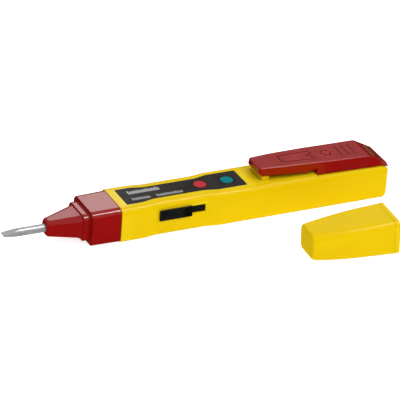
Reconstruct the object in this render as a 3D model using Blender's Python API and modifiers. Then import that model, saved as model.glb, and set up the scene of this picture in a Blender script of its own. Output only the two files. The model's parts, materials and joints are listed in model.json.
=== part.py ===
"""A pen-shaped voltage tester with its blade guard lying beside it.

Metres, +Z up. The pen lies along X with its blade pointing to -X, the switch
on the -Y side and the pocket clip on top. The origin is the middle of the
flat underside. Distances along the pen are counted from the blade's tip.
"""

import math

import bmesh
import bpy
from mathutils import Matrix, Vector

MM = 0.001

# Overall layout along the pen, counted from the blade's tip.
LENGTH = 154.8 * MM
NOSE_FRONT = 16.5 * MM
RING_FRONT = 29.2 * MM
COLLAR_FRONT = 31.9 * MM
BARREL_FRONT = 43.5 * MM
BARREL_REAR = 154.5 * MM
SPIGOT_REAR = 50.5 * MM
COVER_FRONT = 124.8 * MM

# Barrel section.
GAP = 0.3 * MM
HALF_WIDTH = 9.45 * MM
HEIGHT = 13.97 * MM
TOP_RADIUS = 2.4 * MM
BOTTOM_RADIUS = 1.8 * MM
WALL = 1.5 * MM
REAR_WALL = 1.3 * MM
REAR_RADIUS = 1.6 * MM
WAIST_DEPTH = 0.85 * MM
WAIST = (52.0 * MM, 59.0 * MM, 78.0 * MM, 85.0 * MM)

# Deck under the battery cover, and the T-shaped way the cover slides in.
DECK = 13.35 * MM
DECK_UNDERSIDE = 11.75 * MM
OPENING_HALF_WIDTH = 6.5 * MM
OPENING_FRONT = 126.2 * MM
RUNNER_HALF_WIDTH = 7.35 * MM
RUNNER_BOTTOM = 10.3 * MM
RUNNER_FRONT = 127.0 * MM

# Ridge on the barrel's top that the clip's tip presses on.
RIDGE = (102.6 * MM, 105.6 * MM)
RIDGE_HALF_WIDTH = 4.9 * MM
RIDGE_TOP = 15.5 * MM

# Battery cover: the clip's arm in front, the hump over the cells, and the slope at the rear, which
# ends in a lip over the barrel's edge. Each section is its distance, top height and half width,
# bottom height and half width, in mm.
CLIP_SECTIONS = (
    (101.4, 19.0, 4.3, 16.8, 4.6),
    (102.6, 19.05, 5.0, 16.5, 5.2),
    (106.0, 19.05, 5.3, 15.9, 5.5),
    (110.0, 19.05, 5.6, 15.7, 5.85),
    (118.0, 18.85, 6.05, 15.35, 6.4),
    (124.0, 18.72, 6.35, 15.1, 6.7),
)
HUMP_SECTIONS = (
    (124.8, 18.7, 6.4, 13.65, 7.15),
    (134.0, 18.4, 6.65, 13.65, 7.45),
    (147.0, 18.1, 6.95, 13.65, 7.9),
    (152.6, 15.08, 6.9, 13.65, 8.1),
    (153.6, 14.55, 6.9, 13.3, 8.15),
    (154.8, 13.9, 6.9, 12.65, 8.2),
)
STEP_NOTCH = (122.3 * MM, 124.9 * MM, 16.2 * MM)
LIP_CUT = ((152.2, 13.35), (153.4, 13.0), (154.6, 12.33))
SOUND_HOLE_CENTRE = 131.6 * MM
SOUND_HOLE_CIRCLE = 1.9 * MM
SOUND_HOLE_RADIUS = 0.4 * MM
GRIP_GROOVES = (137.1 * MM, 139.9 * MM, 142.7 * MM)
GROOVE_HALF_LENGTH = 3.9 * MM

# Touch contact: a strip across the slope, and its middle.
STRIP_PLACE = (150.6 * MM, 16.2 * MM)
STRIP_HALF_WIDTH = 1.0 * MM
STRIP_HALF_LENGTH = 4.1 * MM

# Label and indicator windows.
LABEL = (46.9 * MM, 96.1 * MM)
LABEL_HALF_WIDTH = 5.8 * MM
LABEL_WAIST_DEPTH = 1.2 * MM
LABEL_THICKNESS = 0.4 * MM
WINDOW_RADIUS = 2.5 * MM
WINDOW_GAP = 0.2 * MM
RED_WINDOW = 79.2 * MM
GREEN_WINDOW = 90.3 * MM

# Blade.
BLADE_AXIS = 6.6 * MM
BLADE_RADIUS = 1.55 * MM
BLADE_REAR = 42.0 * MM
BLADE_HEAD = (35.6 * MM, 37.6 * MM)
BLADE_HEAD_RADIUS = 2.6 * MM
BLADE_GAP = 0.2 * MM
TIP_THICKNESS = 0.7 * MM
TIP_LENGTH = 6.5 * MM

# Circuit board and what stands on it.
BOARD = (51.2 * MM, 135.6 * MM)
BOARD_HALF_WIDTH = 6.0 * MM
BOARD_BOTTOM = 3.4 * MM
BOARD_TOP = 4.6 * MM
BOARD_POSTS = (59.5 * MM, 93.2 * MM, 120.0 * MM)
POST_SPREAD = 3.4 * MM
POST_RADIUS = 1.2 * MM
PIN_RADIUS = 0.3 * MM
PIN_HOLE_RADIUS = 0.6 * MM
PIN_END = 2.4 * MM
SEAT = BOARD_TOP + GAP

# Switch on the -Y side. Its shutter closes the slot from behind wherever the knob stands.
SLOT = (59.2 * MM, 78.0 * MM)
SLOT_HEIGHTS = (7.2 * MM, 10.4 * MM)
SLOT_WALL = 0.7 * MM
STEM_LENGTH = 12.3 * MM
PAD = (59.0 * MM, 72.1 * MM)
PAD_FACES = (-9.6 * MM, -8.9 * MM)
PAD_HEIGHTS = (6.7 * MM, 10.8 * MM)
SWITCH_TRAVEL = 6.0 * MM
SHUTTER = (52.6 * MM, 79.0 * MM)
SHUTTER_THICKNESS = 0.8 * MM
SHUTTER_OVERLAP = 1.0 * MM
LEVER_CENTRE = 66.5 * MM
LEVER_WIDTH = 2.0 * MM
LEVER_END = -7.9 * MM

# Two button cells in line.
CELL_RADIUS = 5.8 * MM
CELL_LENGTH = 5.4 * MM
CELL_AXIS = 7.6 * MM
CELLS_FRONT = 140.9 * MM
SPRING_PLATE = 137.0 * MM
CELL_RIB = (135.9 * MM, 136.7 * MM)
CELL_RIB_TOP = 9.0 * MM
BUZZER_CENTRE = 129.3 * MM
BUZZER_RADIUS = 5.8 * MM

# Blade guard on the floor in front of the pen.
GUARD_MOUTH = (138.2 * MM, -41.1 * MM)
GUARD_TURN = math.radians(-3.0)
GUARD_LENGTH = 33.6 * MM
GUARD_HEIGHT = 13.6 * MM
GUARD_WALL = 1.1 * MM
GUARD_LEAN = 0.07

PARTS = "voltage_tester"
CUTTERS = "cutters"


# ---------------------------------------------------------------- helpers


def at(distance):
    """World x of a point this far behind the blade's tip."""
    return distance - LENGTH / 2


def start_scene():
    for obj in list(bpy.data.objects):
        bpy.data.objects.remove(obj, do_unlink=True)
    for name in (PARTS, CUTTERS):
        collection = bpy.data.collections.new(name)
        bpy.context.scene.collection.children.link(collection)
    bpy.data.collections[CUTTERS].hide_render = True


def material(name, colour, roughness, metallic=0.0, transmission=0.0):
    made = bpy.data.materials.new(name)
    made.use_nodes = True
    shader = made.node_tree.nodes["Principled BSDF"]
    shader.inputs["Base Color"].default_value = (*colour, 1.0)
    shader.inputs["Roughness"].default_value = roughness
    shader.inputs["Metallic"].default_value = metallic
    shader.inputs["Transmission Weight"].default_value = transmission
    return made


def add_object(name, mesh, surface=None):
    """A new object: a part when it has a surface, otherwise a cutter or a joined shape."""
    obj = bpy.data.objects.new(name, mesh)
    if surface:
        bpy.data.collections[PARTS].objects.link(obj)
        mesh.materials.append(surface)
    else:
        bpy.data.collections[CUTTERS].objects.link(obj)
        obj.hide_render = True
        obj.display_type = "WIRE"
    return obj


def from_bmesh(name, shape, surface=None, smooth_below=None):
    mesh = bpy.data.meshes.new(name)
    bmesh.ops.recalc_face_normals(shape, faces=shape.faces)
    shape.to_mesh(mesh)
    shape.free()
    if smooth_below:
        mesh.shade_smooth()
        mesh.set_sharp_from_angle(angle=math.radians(smooth_below))
    return add_object(name, mesh, surface)


def rounded_ring(half_width, bottom, top, top_radius, bottom_radius, steps=4):
    """Points (y, z) round a rectangle with rounded corners, centred on y = 0."""
    corners = (
        (half_width - top_radius, top - top_radius, top_radius, 0),
        (top_radius - half_width, top - top_radius, top_radius, 90),
        (bottom_radius - half_width, bottom + bottom_radius, bottom_radius, 180),
        (half_width - bottom_radius, bottom + bottom_radius, bottom_radius, 270),
    )
    ring = []
    for y, z, radius, start in corners:
        for step in range(steps + 1):
            angle = math.radians(start + 90 * step / steps)
            ring.append((y + radius * math.cos(angle), z + radius * math.sin(angle)))
    return ring


def flank_ring(top_half_width, top, bottom_half_width, bottom):
    """Points (y, z) of a section with leaning sides and a small chamfer along its top edges."""
    chamfer = 0.5 * MM
    return [
        (bottom_half_width, bottom),
        (top_half_width, top - chamfer),
        (top_half_width - chamfer, top),
        (chamfer - top_half_width, top),
        (-top_half_width, top - chamfer),
        (-bottom_half_width, bottom),
    ]


def loft(name, stations, surface=None, smooth_below=35):
    """A closed solid through sections (x, ring of (y, z)), flat at both ends."""
    shape = bmesh.new()
    rings = [[shape.verts.new((x, y, z)) for y, z in ring] for x, ring in stations]
    for first, second in zip(rings, rings[1:]):
        count = len(first)
        for index in range(count):
            after = (index + 1) % count
            shape.faces.new((first[index], first[after], second[after], second[index]))
    shape.faces.new(rings[0])
    shape.faces.new(rings[-1])
    return from_bmesh(name, shape, surface, smooth_below)


def boxes(name, extents, surface=None):
    """One mesh of separate boxes, each given by its lowest and highest corner."""
    shape = bmesh.new()
    for low, high in extents:
        low, high = Vector(low), Vector(high)
        place = Matrix.Translation((low + high) / 2) @ Matrix.Diagonal((*(high - low), 1.0))
        bmesh.ops.create_cube(shape, size=1.0, matrix=place)
    return from_bmesh(name, shape, surface)


def cylinders(name, places, radius, axis="Z", segments=12, surface=None):
    """One mesh of separate cylinders, each given by one end's centre and its length."""
    turn = {"X": Matrix.Rotation(math.pi / 2, 4, "Y"), "Z": Matrix.Identity(4)}[axis]
    shape = bmesh.new()
    for end, length in places:
        middle = Matrix.Translation((0, 0, length / 2))
        bmesh.ops.create_cone(
            shape,
            cap_ends=True,
            segments=segments,
            radius1=radius,
            radius2=radius,
            depth=length,
            matrix=Matrix.Translation(end) @ turn @ middle,
        )
    return from_bmesh(name, shape, surface, 40)


def turned(name, profile, surface, place=(0, 0, 0), steps=24):
    """A solid turned from (radius, height) points, which run down its outer side.

    A profile that starts on the axis ends on it; one that starts off the axis is a closed loop.
    """
    shape = bmesh.new()
    points = [shape.verts.new((radius, 0, height)) for radius, height in profile]
    for first, second in zip(points, points[1:]):
        shape.edges.new((first, second))
    if profile[0][0] > 0:
        shape.edges.new((points[-1], points[0]))
    mesh = bpy.data.meshes.new(name)
    shape.to_mesh(mesh)
    shape.free()
    obj = add_object(name, mesh, surface)
    screw = obj.modifiers.new("turn", "SCREW")
    screw.steps = screw.render_steps = steps
    screw.use_merge_vertices = True
    screw.merge_threshold = 1e-6
    obj.location = place
    return obj


def wire(name, points, radius, surface):
    """A bent wire through these points, with closed ends."""
    curve = bpy.data.curves.new(name, "CURVE")
    curve.dimensions = "3D"
    curve.bevel_depth = radius
    curve.bevel_resolution = 1
    curve.use_fill_caps = True
    spline = curve.splines.new("POLY")
    spline.points.add(len(points) - 1)
    for point, place in zip(spline.points, points):
        point.co = (*place, 1.0)
    curve.materials.append(surface)
    obj = bpy.data.objects.new(name, curve)
    bpy.data.collections[PARTS].objects.link(obj)
    return obj


def boolean(target, other, operation):
    modifier = target.modifiers.new(f"{operation.lower()}_{other.name}", "BOOLEAN")
    modifier.operation = operation
    modifier.object = other
    modifier.solver = "EXACT"
    return target


def cut(target, *cutters):
    for cutter in cutters:
        boolean(target, cutter, "DIFFERENCE")


def join(target, *others):
    for other in others:
        boolean(target, other, "UNION")


def smooth_step(value):
    value = min(max(value, 0.0), 1.0)
    return value * value * (3 - 2 * value)


def waist_dip(distance, depth=WAIST_DEPTH):
    """How far the waist draws the sides in at this distance from the tip."""
    start, full, leave, end = WAIST
    rise = smooth_step((distance - start) / (full - start))
    fall = smooth_step((distance - leave) / (end - leave))
    return depth * (rise - fall)


def waist_stations(front, rear, steps=5):
    """Distances that catch both ramps of the waist between two ends."""
    start, full, leave, end = WAIST
    ramps = [start + (full - start) * step / steps for step in range(steps + 1)]
    ramps += [leave + (end - leave) * step / steps for step in range(steps + 1)]
    return [front] + [x for x in ramps if front < x < rear] + [rear]


def barrel_ring(distance, inset=0.0):
    return rounded_ring(
        HALF_WIDTH - waist_dip(distance) - inset,
        inset,
        HEIGHT - inset,
        TOP_RADIUS - inset,
        BOTTOM_RADIUS - inset,
    )


# ------------------------------------------------------------ outer parts


def slot_wall_face():
    """The thinned wall's inner face round the switch slot, on the -Y side."""
    return WAIST_DEPTH - HALF_WIDTH + SLOT_WALL


def rear_edge_stations(steps=4):
    """Sections that round the barrel's rear edge, fully underneath and less at its sides."""
    stations = []
    for step in range(1, steps + 1):
        turn = math.radians(90 * step / steps)
        inset = REAR_RADIUS * (1 - math.cos(turn))
        ring = rounded_ring(HALF_WIDTH - 0.5 * inset, inset, HEIGHT, TOP_RADIUS, BOTTOM_RADIUS)
        stations.append((at(BARREL_REAR - REAR_RADIUS * (1 - math.sin(turn))), ring))
    return stations


def make_barrel(surface):
    """One moulded sleeve, open at the front, with a deck and a T-slot for the cover at the rear."""
    straight_end = BARREL_REAR - REAR_RADIUS
    stations = [(at(x), barrel_ring(x)) for x in waist_stations(BARREL_FRONT, straight_end)]
    stations += rear_edge_stations()
    barrel = loft("barrel", stations, surface)

    inside = waist_stations(BARREL_FRONT - 2.0 * MM, BARREL_REAR - REAR_WALL)
    cavity = loft("barrel_cavity", [(at(x), barrel_ring(x, WALL)) for x in inside])
    above = HEIGHT + 1.0 * MM
    beyond = at(LENGTH + 2.0 * MM)
    deck = boxes(
        "deck_cutter",
        [((at(COVER_FRONT) - GAP, -10 * MM, DECK), (beyond, 10 * MM, above))],
    )
    opening = boxes(
        "opening_cutter",
        [
            (
                (at(OPENING_FRONT), -OPENING_HALF_WIDTH, DECK_UNDERSIDE - 1.0 * MM),
                (beyond, OPENING_HALF_WIDTH, above),
            ),
        ],
    )
    runner = boxes(
        "runner_cutter",
        [
            (
                (at(BARREL_REAR) - 3.0 * MM, -RUNNER_HALF_WIDTH, RUNNER_BOTTOM),
                (beyond, RUNNER_HALF_WIDTH, DECK_UNDERSIDE),
            ),
        ],
    )
    slot = boxes(
        "slot_cutter",
        [((at(SLOT[0]), -10 * MM, SLOT_HEIGHTS[0]), (at(SLOT[1]), -5 * MM, SLOT_HEIGHTS[1]))],
    )
    room = GAP + SHUTTER_OVERLAP
    shutter_way = boxes(
        "shutter_way",
        [
            (
                (at(SHUTTER[0]) - GAP, slot_wall_face(), SLOT_HEIGHTS[0] - room),
                (at(SHUTTER[1]) + SWITCH_TRAVEL + GAP, -5 * MM, SLOT_HEIGHTS[1] + room),
            )
        ],
    )
    recess = make_label_plate("label_recess", GAP, HEIGHT - LABEL_THICKNESS - GAP, above)
    windows = cylinders(
        "window_cutter",
        [((at(x), 0, HEIGHT - 3 * MM), 4 * MM) for x in (RED_WINDOW, GREEN_WINDOW)],
        WINDOW_RADIUS + WINDOW_GAP,
        segments=24,
    )
    cut(barrel, cavity, deck, opening, runner, slot, shutter_way, recess, windows, lip_cutter())

    ridge_front, ridge_rear = RIDGE
    ridge = boxes(
        "clip_ridge",
        [
            (
                (at(ridge_front), -RIDGE_HALF_WIDTH, HEIGHT - WALL / 2),
                (at(ridge_rear), RIDGE_HALF_WIDTH, RIDGE_TOP),
            )
        ],
    )
    in_floor = WALL - 0.5 * MM
    in_side = HALF_WIDTH - 0.9 * MM
    rib = boxes(
        "cell_rib",
        [((at(CELL_RIB[0]), -in_side, in_floor), (at(CELL_RIB[1]), in_side, CELL_RIB_TOP))],
    )
    posts = cylinders(
        "board_posts",
        [
            ((at(x), y, in_floor), BOARD_BOTTOM - GAP - in_floor)
            for x in BOARD_POSTS
            for y in (-POST_SPREAD, POST_SPREAD)
        ],
        POST_RADIUS,
    )
    join(barrel, ridge, rib, posts)


def lip_cutter():
    """The room at the barrel's top rear edge for the cover's lip."""
    half, above = 10 * MM, HEIGHT + 1.0 * MM
    stations = []
    for x, floor in LIP_CUT + ((156.0, LIP_CUT[-1][1]),):
        low = floor * MM
        stations.append((at(x * MM), [(half, low), (half, above), (-half, above), (-half, low)]))
    return loft("lip_cutter", stations)


def make_label_plate(name, margin, bottom, top, surface=None):
    """A plate on the top face with a waist of its own."""
    front, rear = LABEL
    stations = []
    for x in waist_stations(front - margin, rear + margin):
        half = LABEL_HALF_WIDTH - waist_dip(x, LABEL_WAIST_DEPTH) + margin
        stations.append((at(x), [(half, bottom), (half, top), (-half, top), (-half, bottom)]))
    return loft(name, stations, surface)


def make_label(surface):
    label = make_label_plate("label", 0.0, HEIGHT - LABEL_THICKNESS, HEIGHT, surface)
    holes = cylinders(
        "label_holes",
        [((at(x), 0, HEIGHT - 2 * MM), 4 * MM) for x in (RED_WINDOW, GREEN_WINDOW)],
        WINDOW_RADIUS + WINDOW_GAP,
        segments=24,
    )
    cut(label, holes)


def make_nose(surface):
    """Tapered nose, sealing ring and collar in one moulding, with a spigot into the barrel."""
    spigot_inset = WALL + GAP
    spigot = rounded_ring(
        HALF_WIDTH - spigot_inset,
        spigot_inset,
        HEIGHT - spigot_inset,
        TOP_RADIUS - spigot_inset,
        0.4 * MM,
    )
    ring = rounded_ring(7.2 * MM, 1.8 * MM, 12.3 * MM, 2.6 * MM, 1.8 * MM)
    stations = (
        (NOSE_FRONT, rounded_ring(2.1 * MM, 4.3 * MM, 8.9 * MM, 1.4 * MM, 1.2 * MM)),
        (17.8 * MM, rounded_ring(2.95 * MM, 3.55 * MM, 9.65 * MM, 1.9 * MM, 1.6 * MM)),
        (27.8 * MM, rounded_ring(6.1 * MM, 2.8 * MM, 11.1 * MM, 3.0 * MM, 1.8 * MM)),
        (RING_FRONT, rounded_ring(6.7 * MM, 2.3 * MM, 11.5 * MM, 3.0 * MM, 1.8 * MM)),
        (RING_FRONT, ring),
        (COLLAR_FRONT, ring),
        (COLLAR_FRONT, rounded_ring(8.6 * MM, 0.5 * MM, 13.3 * MM, 2.8 * MM, 1.8 * MM)),
        (32.4 * MM, rounded_ring(8.9 * MM, 0.2 * MM, 13.6 * MM, 3.0 * MM, 2.0 * MM)),
        (BARREL_FRONT - GAP, rounded_ring(9.1 * MM, 0.1 * MM, 13.85 * MM, 3.0 * MM, 2.0 * MM)),
        (BARREL_FRONT - GAP, spigot),
        (SPIGOT_REAR, spigot),
    )
    nose = loft("nose_piece", [(at(x), points) for x, points in stations], surface)
    hollow = rounded_ring(6.1 * MM, 3.1 * MM, 10.9 * MM, 0.8 * MM, 0.8 * MM)
    cavity = loft(
        "nose_cavity", [(at(x), hollow) for x in (34.0 * MM, SPIGOT_REAR + 2.0 * MM)]
    )
    bore = cylinders(
        "blade_bore",
        [((at(NOSE_FRONT - 2 * MM), 0, BLADE_AXIS), 22 * MM)],
        BLADE_RADIUS + BLADE_GAP,
        axis="X",
        segments=20,
    )
    cut(nose, cavity, bore)


def make_blade(surface):
    """Round shank ground flat at its tip, with a head that keeps it in the nose."""
    head_front, head_rear = BLADE_HEAD
    profile = [
        (0, BLADE_REAR),
        (BLADE_RADIUS, BLADE_REAR),
        (BLADE_RADIUS, head_rear),
        (BLADE_HEAD_RADIUS, head_rear),
        (BLADE_HEAD_RADIUS, head_front),
        (BLADE_RADIUS, head_front),
        (BLADE_RADIUS, 0),
        (0, 0),
    ]
    # Turned about Z, then laid with its height along +X.
    blade = turned("blade", profile, surface, steps=20)
    blade.rotation_euler = (0, math.pi / 2, 0)
    blade.location = (at(0), 0, BLADE_AXIS)
    lean = math.atan2(BLADE_RADIUS - TIP_THICKNESS / 2, TIP_LENGTH)
    for name, side in (("tip_grind_top", 1), ("tip_grind_bottom", -1)):
        grind = boxes(name, [((-5 * MM, -3 * MM, 0), (12 * MM, 3 * MM, 4 * MM))])
        grind.location = (at(0), 0, BLADE_AXIS + side * TIP_THICKNESS / 2)
        grind.rotation_euler = (math.pi if side < 0 else 0, -side * lean, 0)
        cut(blade, grind)


def make_battery_cover(surface):
    """Sliding cover over the cells, with the pocket clip's arm moulded on its front."""
    stations = []
    for x, top, top_half, bottom, bottom_half in CLIP_SECTIONS + HUMP_SECTIONS:
        ring = flank_ring(top_half * MM, top * MM, bottom_half * MM, bottom * MM)
        stations.append((at(x * MM), ring))
    cover = loft("battery_cover", stations, surface, 20)

    well = boxes(
        "cover_well",
        [((at(126.0 * MM), -5.0 * MM, 13.0 * MM), (at(149.0 * MM), 5.0 * MM, 16.6 * MM))],
    )
    arm_pocket = boxes(
        "arm_pocket",
        [((at(106.5 * MM), -3.4 * MM, 14.0 * MM), (at(122.0 * MM), 3.4 * MM, 17.4 * MM))],
    )
    sound_holes = cylinders(
        "sound_holes",
        [
            (
                (
                    at(SOUND_HOLE_CENTRE) + SOUND_HOLE_CIRCLE * math.cos(turn * math.pi / 3),
                    SOUND_HOLE_CIRCLE * math.sin(turn * math.pi / 3),
                    15 * MM,
                ),
                5 * MM,
            )
            for turn in range(6)
        ],
        SOUND_HOLE_RADIUS,
        segments=8,
    )
    grooves = boxes(
        "grip_grooves",
        [
            (
                (at(x) - 0.25 * MM, -GROOVE_HALF_LENGTH, 18.0 * MM),
                (at(x) + 0.25 * MM, GROOVE_HALF_LENGTH, 20 * MM),
            )
            for x in GRIP_GROOVES
        ],
    )
    notch_front, notch_rear, notch_top = STEP_NOTCH
    step_notch = boxes(
        "step_notch",
        [
            (
                (at(notch_front), min(side * 5.9, side * 8.0) * MM, DECK),
                (at(notch_rear), max(side * 5.9, side * 8.0) * MM, notch_top),
            )
            for side in (-1, 1)
        ],
    )
    contact_slot = make_touch_strip("contact_slot", 0.2 * MM, 1.0 * MM, 5.0 * MM)
    cut(cover, well, arm_pocket, sound_holes, grooves, step_notch, contact_slot)

    underside = DECK + GAP
    joined_top = underside + 0.4 * MM
    inner = 5.3 * MM
    runner_top = DECK_UNDERSIDE - GAP
    runner_bottom = RUNNER_BOTTOM + GAP
    web = OPENING_HALF_WIDTH - GAP
    foot = RUNNER_HALF_WIDTH - GAP
    rear = at(LENGTH - 0.3 * MM)
    runners = boxes(
        "cover_runners",
        [
            (
                (at(RUNNER_FRONT), min(side * inner, side * web), runner_bottom),
                (rear, max(side * inner, side * web), joined_top),
            )
            for side in (-1, 1)
        ],
    )
    feet = boxes(
        "cover_feet",
        [
            (
                (at(RUNNER_FRONT), min(side * (inner + GAP), side * foot), runner_bottom),
                (rear, max(side * (inner + GAP), side * foot), runner_top),
            )
            for side in (-1, 1)
        ],
    )
    tail = boxes(
        "cover_tail",
        [((at(LENGTH - 1.3 * MM), -5.9 * MM, runner_bottom), (rear, 5.9 * MM, joined_top))],
    )
    join(cover, runners, feet, tail)


def make_touch_strip(name, margin, up, down, surface=None):
    """A strip across the cover's sloped rear face, standing from down below it to up above it."""
    (front, high), (rear, low) = (section[:2] for section in HUMP_SECTIONS[-2:])
    slope = math.atan2(high - low, rear - front)
    reach, half = STRIP_HALF_WIDTH + margin, STRIP_HALF_LENGTH + margin
    strip = boxes(name, [((-reach, -half, -down), (reach, half, up))], surface)
    strip.location = (at(STRIP_PLACE[0]), 0, STRIP_PLACE[1])
    strip.rotation_euler = (0, slope, 0)
    return strip


def make_touch_contact(surface):
    """Metal strip felt by the finger, with a leaf behind it that leans over the rear cell contact."""
    contact = make_touch_strip("touch_contact", 0.0, 0.15 * MM, 1.4 * MM, surface)
    leaf = boxes(
        "touch_leaf",
        [((-0.4 * MM, -2.0 * MM, -1.6 * MM), (3.0 * MM, 2.0 * MM, -1.2 * MM))],
    )
    room = boxes("leaf_room", [((-0.8 * MM, -2.4 * MM, -4.0 * MM), (3.4 * MM, 2.4 * MM, -0.9 * MM))])
    for obj in (leaf, room):
        obj.location = contact.location
        obj.rotation_euler = contact.rotation_euler
    join(contact, leaf)
    cut(bpy.data.objects["battery_cover"], room)


def make_guard(surface):
    """Blade guard: a tapered cap with its mouth towards +X, lying on its flat side.

    Its ends lean back by half of the taper between its upper and lower sides.
    """
    stations = (
        (0.0, 8.9, 0.0, 13.6, 2.4, 1.6),
        (12.0, 8.6, 0.0, 12.95, 2.6, 2.0),
        (20.0, 8.05, 0.0, 12.3, 2.6, 2.0),
        (27.0, 7.2, 0.1, 11.7, 2.6, 2.0),
        (32.3, 6.2, 0.4, 11.15, 2.6, 2.0),
        (33.6, 5.3, 1.4, 10.4, 2.4, 1.8),
    )
    outside = []
    inside = []
    for back, half, bottom, top, top_radius, bottom_radius in stations:
        outside.append(
            (-back * MM, rounded_ring(*(v * MM for v in (half, bottom, top, top_radius, bottom_radius))))
        )
        hollow = (
            half * MM - GUARD_WALL,
            bottom * MM + GUARD_WALL,
            top * MM - GUARD_WALL,
            (top_radius - 0.8) * MM,
            (bottom_radius - 0.8) * MM,
        )
        depth = 2.0 * MM if back == 0.0 else -min(back * MM, GUARD_LENGTH - GUARD_WALL)
        inside.append((depth, rounded_ring(*hollow)))
    guard = loft("blade_guard", outside, surface)
    cavity = loft("guard_cavity", inside)
    for vertex in list(guard.data.vertices) + list(cavity.data.vertices):
        vertex.co.x += GUARD_LEAN * (GUARD_HEIGHT - vertex.co.z)
    cut(guard, cavity)
    for obj in (guard, cavity):
        obj.location = (at(GUARD_MOUTH[0]), GUARD_MOUTH[1], 0)
        obj.rotation_euler = (0, 0, GUARD_TURN)


# ------------------------------------------------------- indicator and switch


def make_lens(name, distance, surface):
    bottom, ledge, top = HEIGHT - 2.4 * MM, HEIGHT - WALL - GAP, HEIGHT + 0.15 * MM
    profile = [
        (0, top),
        (WINDOW_RADIUS - 0.4 * MM, top),
        (WINDOW_RADIUS, top - 0.25 * MM),
        (WINDOW_RADIUS, ledge),
        (3.5 * MM, ledge),
        (3.5 * MM, bottom),
        (0, bottom),
    ]
    turned(name, profile, surface, place=(at(distance), 0, 0))


def pins(name, places, top):
    """Round legs that reach down through the board."""
    legs = [((at(x), y, PIN_END), top - PIN_END) for x, y in places]
    return cylinders(name, legs, PIN_RADIUS, segments=8)


def make_led(name, distance, surface):
    radius = 2.4 * MM
    shoulder = 8.8 * MM
    turns = [math.radians(15 * step) for step in range(7)]
    dome = [(radius * math.sin(turn), shoulder + radius * math.cos(turn)) for turn in turns]
    profile = dome + [
        (radius, SEAT + 0.9 * MM),
        (radius + 0.4 * MM, SEAT + 0.9 * MM),
        (radius + 0.4 * MM, SEAT),
        (0, SEAT),
    ]
    led = turned(name, profile, surface, place=(at(distance), 0, 0), steps=20)
    join(led, pins(f"{name}_legs", led_legs(distance), SEAT + 0.6 * MM))


def led_legs(distance):
    return [(distance - 1.27 * MM, 0.0), (distance + 1.27 * MM, 0.0)]


def make_knob(surface):
    """Thumb pad outside the slot, on a stem through it and a shutter behind the wall."""
    front, rear = at(SLOT[0] + GAP), at(SLOT[0] + GAP + STEM_LENGTH)
    low, high = SLOT_HEIGHTS[0] + 0.2 * MM, SLOT_HEIGHTS[1] - 0.2 * MM
    outer, inner = PAD_FACES
    shutter_face = slot_wall_face() + GAP
    shutter_back = shutter_face + SHUTTER_THICKNESS
    knob = boxes(
        "switch_knob",
        [((at(PAD[0]), outer, PAD_HEIGHTS[0]), (at(PAD[1]), inner, PAD_HEIGHTS[1]))],
        surface,
    )
    stem = boxes("knob_stem", [((front, inner - GAP, low), (rear - GAP, shutter_back - GAP, high))])
    shutter = boxes(
        "knob_shutter",
        [
            (
                (at(SHUTTER[0]), shutter_face, SLOT_HEIGHTS[0] - SHUTTER_OVERLAP),
                (at(SHUTTER[1]), shutter_back, SLOT_HEIGHTS[1] + SHUTTER_OVERLAP),
            )
        ],
    )
    half = LEVER_WIDTH / 2 + GAP
    notch = boxes(
        "lever_notch",
        [((at(LEVER_CENTRE) - half, LEVER_END - GAP, low), (at(LEVER_CENTRE) + half, -5.0 * MM, high))],
    )
    join(knob, stem, shutter)
    cut(knob, notch)


def make_slide_switch(case_surface, lever_surface):
    """Metal-cased slide switch whose lever sits in the knob's notch."""
    case_front, case_rear = 61.0 * MM, 75.8 * MM
    near, far = -4.95 * MM, -1.2 * MM
    low, high = SEAT, 10.6 * MM
    case = boxes(
        "slide_switch", [((at(case_front), near, low), (at(case_rear), far, high))], case_surface
    )
    travel_room = boxes(
        "lever_way",
        [
            (
                (at(LEVER_CENTRE) - LEVER_WIDTH, near - 1.0 * MM, 7.5 * MM),
                (at(LEVER_CENTRE) + LEVER_WIDTH + SWITCH_TRAVEL, far - 1.0 * MM, 9.7 * MM),
            )
        ],
    )
    cut(case, travel_room)
    join(case, pins("switch_legs", switch_legs(), SEAT + 0.6 * MM))
    boxes(
        "switch_lever",
        [
            (
                (at(LEVER_CENTRE) - LEVER_WIDTH / 2, LEVER_END, 7.8 * MM),
                (at(LEVER_CENTRE) + LEVER_WIDTH / 2, far - 1.4 * MM, 9.4 * MM),
            )
        ],
        lever_surface,
    )


def switch_legs():
    return [(x, -3.0 * MM) for x in (64.0 * MM, 69.0 * MM, 74.0 * MM)]


# --------------------------------------------------------------- electronics


def transistor_legs(distance, y):
    return [(distance + step * 1.27 * MM, y) for step in (-1, 0, 1)]


# Where each stands: distance and side. A resistor gives its front lead, side and lead spacing.
TRANSISTORS = {
    "transistor_1": (97.5 * MM, -2.6 * MM),
    "transistor_2": (97.5 * MM, 2.9 * MM),
}
RESISTORS = {
    "safety_resistor": (55.5 * MM, 3.0 * MM, 8.0 * MM),
    "bias_resistor": (104.0 * MM, 3.6 * MM, 6.0 * MM),
}
CAPACITORS = {
    "smoothing_capacitor": (85.0 * MM, 3.3 * MM),
    "timing_capacitor": (106.5 * MM, -2.5 * MM),
}
CAPACITOR_LEG = 0.9 * MM


def capacitor_legs(distance, y):
    return [(distance - CAPACITOR_LEG, y), (distance + CAPACITOR_LEG, y)]


def resistor_legs(front, y, length):
    return [(front, y), (front + length, y)]


def buzzer_legs():
    return [(BUZZER_CENTRE - 3.0 * MM, 0.0), (BUZZER_CENTRE + 3.0 * MM, 0.0)]


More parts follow.
